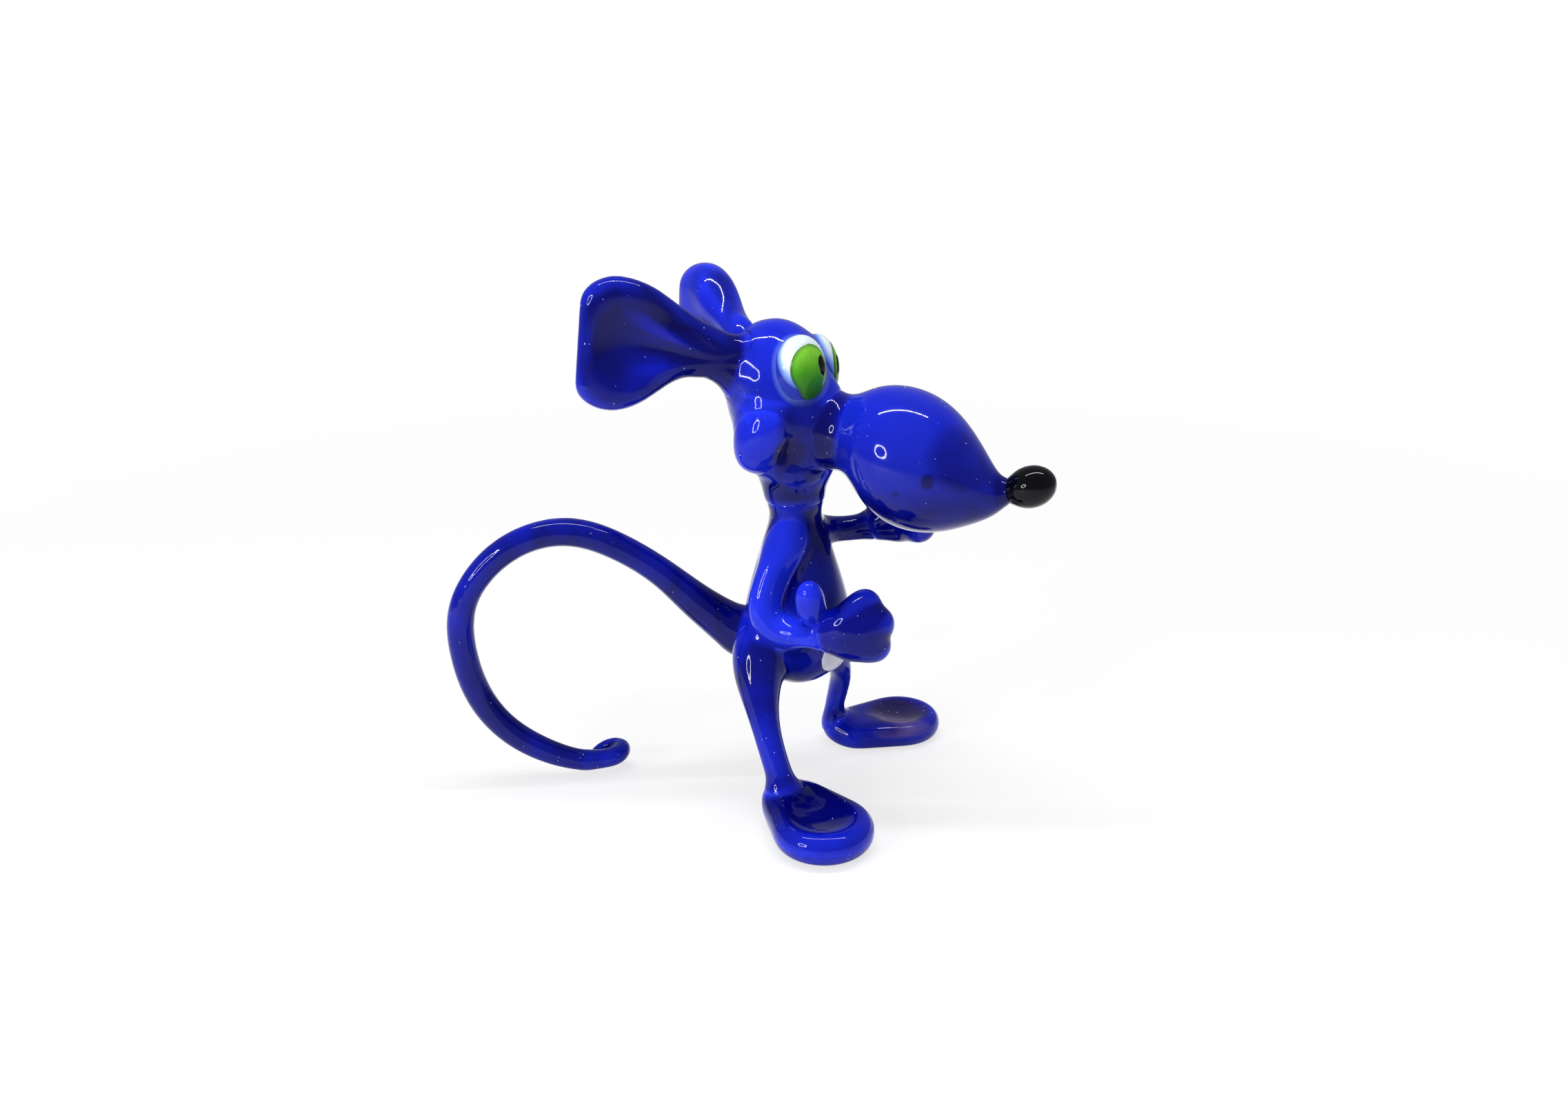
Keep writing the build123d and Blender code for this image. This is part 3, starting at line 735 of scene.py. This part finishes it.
def strew_seeds(skins, glass):
    spots = []
    faces = []
    sky = []
    for skin in skins:
        first = len(spots)
        spots += [tuple(corner.co) for corner in skin.data.vertices]
        faces += [tuple(corner + first for corner in face.vertices) for face in skin.data.polygons]
        sky += [item.value for item in skin.data.attributes["sky"].data]
    mesh = bpy.data.meshes.new("seeds")
    mesh.from_pydata(spots, [], faces)
    store(mesh, "sky", sky)
    seeds = bpy.data.objects.new("seeds", mesh)
    bpy.context.scene.collection.objects.link(seeds)
    modifier = seeds.modifiers.new("seeds", "NODES")
    tree, radius, density = seed_tree(glass)
    modifier.node_group = tree
    modifier[radius] = seed_radius
    modifier[density] = seed_density
    graph = bpy.context.evaluated_depsgraph_get()
    plain = bpy.data.meshes.new_from_object(seeds.evaluated_get(graph))
    seeds.modifiers.remove(modifier)
    seeds.data = plain
    plain.shade_smooth()
    return seeds


seed_glass = plain_glass("seed_glass", [(0.3, (0.20, 0.26, 0.85)), (0.7, (0.75, 0.80, 0.98))], 900)
seeds = strew_seeds([skins[name] for name in seeded], seed_glass)
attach(seeds, "root")

# Table, studio light and lamps
floor_size = 4.0
lens_white = 0.72           # share of the table near the figure that the lens sees as plain white
white_from, white_full = 0.03, 0.25     # distances over which that share grows to one
figure_middle = Vector((0, 0, 0.03))    # what every lamp faces


def staged(name, spots, faces, material):
    mesh = bpy.data.meshes.new(name)
    mesh.from_pydata(spots, [], faces)
    mesh.materials.append(material)
    thing = bpy.data.objects.new(name, mesh)
    bpy.context.scene.collection.objects.link(thing)
    return thing


def seen_by_lens(tree):
    """One for what the lens sees straight on or through glass."""
    path = tree.nodes.new("ShaderNodeLightPath")
    return sum_of(tree, path.outputs["Is Camera Ray"], path.outputs["Is Transmission Ray"], "MAXIMUM")


def white_light(tree, kind, strength):
    node = tree.nodes.new(kind)
    node.inputs["Color"].default_value = (1, 1, 1, 1)
    node.inputs["Strength"].default_value = strength
    return node


material = bpy.data.materials.new("table_paper")
material.use_nodes = True
tree = material.node_tree
shader = tree.nodes["Principled BSDF"]
shader.inputs["Base Color"].default_value = (0.93, 0.93, 0.94, 1)
shader.inputs["Roughness"].default_value = 0.7
shader.inputs["Specular IOR Level"].default_value = 0.2
paper = white_light(tree, "ShaderNodeEmission", 1.0)
choice = tree.nodes.new("ShaderNodeMixShader")
where = tree.nodes.new("ShaderNodeTexCoord")
away = tree.nodes.new("ShaderNodeVectorMath")
away.operation = "LENGTH"
tree.links.new(where.outputs["Object"], away.inputs[0])
far = tree.nodes.new("ShaderNodeMapRange")
far.inputs["From Min"].default_value = white_from
far.inputs["From Max"].default_value = white_full
far.inputs["To Min"].default_value = lens_white
far.inputs["To Max"].default_value = 1.0
tree.links.new(away.outputs["Value"], far.inputs["Value"])
share = sum_of(tree, seen_by_lens(tree), far.outputs["Result"], "MULTIPLY")
tree.links.new(share, choice.inputs["Fac"])
tree.links.new(shader.outputs["BSDF"], choice.inputs[1])
tree.links.new(paper.outputs["Emission"], choice.inputs[2])
tree.links.new(choice.outputs["Shader"], tree.nodes["Material Output"].inputs["Surface"])
half = floor_size / 2
staged("table", [(-half, -half, 0), (half, -half, 0), (half, half, 0), (-half, half, 0)], [(0, 1, 2, 3)],
       material)

world = bpy.data.worlds.new("studio")
bpy.context.scene.world = world
world.use_nodes = True
tree = world.node_tree
background = tree.nodes["Background"]
background.inputs["Color"].default_value = (0.95, 0.96, 1.0, 1)
background.inputs["Strength"].default_value = 0.3
seen = white_light(tree, "ShaderNodeBackground", 1.0)
choice = tree.nodes.new("ShaderNodeMixShader")
tree.links.new(seen_by_lens(tree), choice.inputs["Fac"])
tree.links.new(background.outputs["Background"], choice.inputs[1])
tree.links.new(seen.outputs["Background"], choice.inputs[2])
tree.links.new(choice.outputs["Shader"], tree.nodes["World Output"].inputs["Surface"])


def softbox(name, place, size, power):
    lamp = bpy.data.lights.new(name, "AREA")
    lamp.shape = "RECTANGLE"
    lamp.size, lamp.size_y = size
    lamp.energy = power
    lit = bpy.data.objects.new(name, lamp)
    bpy.context.scene.collection.objects.link(lit)
    lit.location = place
    turn = (figure_middle - Vector(place)).to_track_quat("-Z", "Y")
    lit.rotation_euler = turn.to_euler()
    lit.visible_glossy = False


def glowing(name, strength):
    material = bpy.data.materials.new(name)
    material.use_nodes = True
    tree = material.node_tree
    light = white_light(tree, "ShaderNodeEmission", strength)
    tree.links.new(light.outputs["Emission"], tree.nodes["Material Output"].inputs["Surface"])
    return material


def lamp_row(name, middle, heading, length, count, size, strength):
    """Row of small square lamps, for the dotted glints."""
    heading = Vector(heading).normalized()
    down = (figure_middle - Vector(middle)).normalized()
    side = heading.cross(down).normalized()
    spots = []
    faces = []
    for i in range(count):
        centre = Vector(middle) + heading * length * (i / (count - 1) - 0.5)
        first = len(spots)
        for a, b in ((-1, -1), (1, -1), (1, 1), (-1, 1)):
            spots.append(tuple(centre + heading * a * size / 2 + side * b * size / 2))
        faces.append((first, first + 1, first + 2, first + 3))
    staged(name, spots, faces, glowing(name, strength))


def lamp_ring(name, middle, outer, inner, strength, corners=24):
    """Ring lamp, for the round glints."""
    turn = (figure_middle - Vector(middle)).to_track_quat("-Z", "Y")
    spots = []
    faces = []
    for i in range(corners):
        for reach in (outer, inner):
            angle = radians(360) * i / corners
            spots.append(tuple(Vector(middle) + turn @ Vector((reach * cos(angle), reach * sin(angle), 0))))
        after = (i + 1) % corners
        faces.append((2 * i, 2 * after, 2 * after + 1, 2 * i + 1))
    staged(name, spots, faces, glowing(name, strength))


softbox("softbox_overhead", (-0.10, -0.05, 0.70), (0.6, 0.6), 1.5)
lamp_row("lamp_row", (0.0, -0.01, 0.36), (-0.31, 0.95, 0), 0.34, 23, 0.010, 105)
lamp_ring("lamp_ring", (-0.27, 0.15, 0.12), 0.056, 0.044, 46)

# Camera at the photograph's place
camera_place = (-0.1395, -0.0467, 0.0800)
camera_azimuth = radians(-72.0)
camera_pitch = radians(19.29)
camera_roll = radians(-0.85)
lens = bpy.data.cameras.new("camera")
lens.sensor_width = 36.0
lens.lens = 29.47
lens.shift_x = 0.010
lens.clip_start = 0.005
camera = bpy.data.objects.new("camera", lens)
bpy.context.scene.collection.objects.link(camera)
camera.matrix_world = (Matrix.Translation(camera_place) @ Matrix.Rotation(camera_azimuth, 4, "Z")
                       @ Matrix.Rotation(radians(90) - camera_pitch, 4, "X")
                       @ Matrix.Rotation(camera_roll, 4, "Z"))
bpy.context.scene.camera = camera
bpy.context.scene.view_settings.view_transform = "Standard"
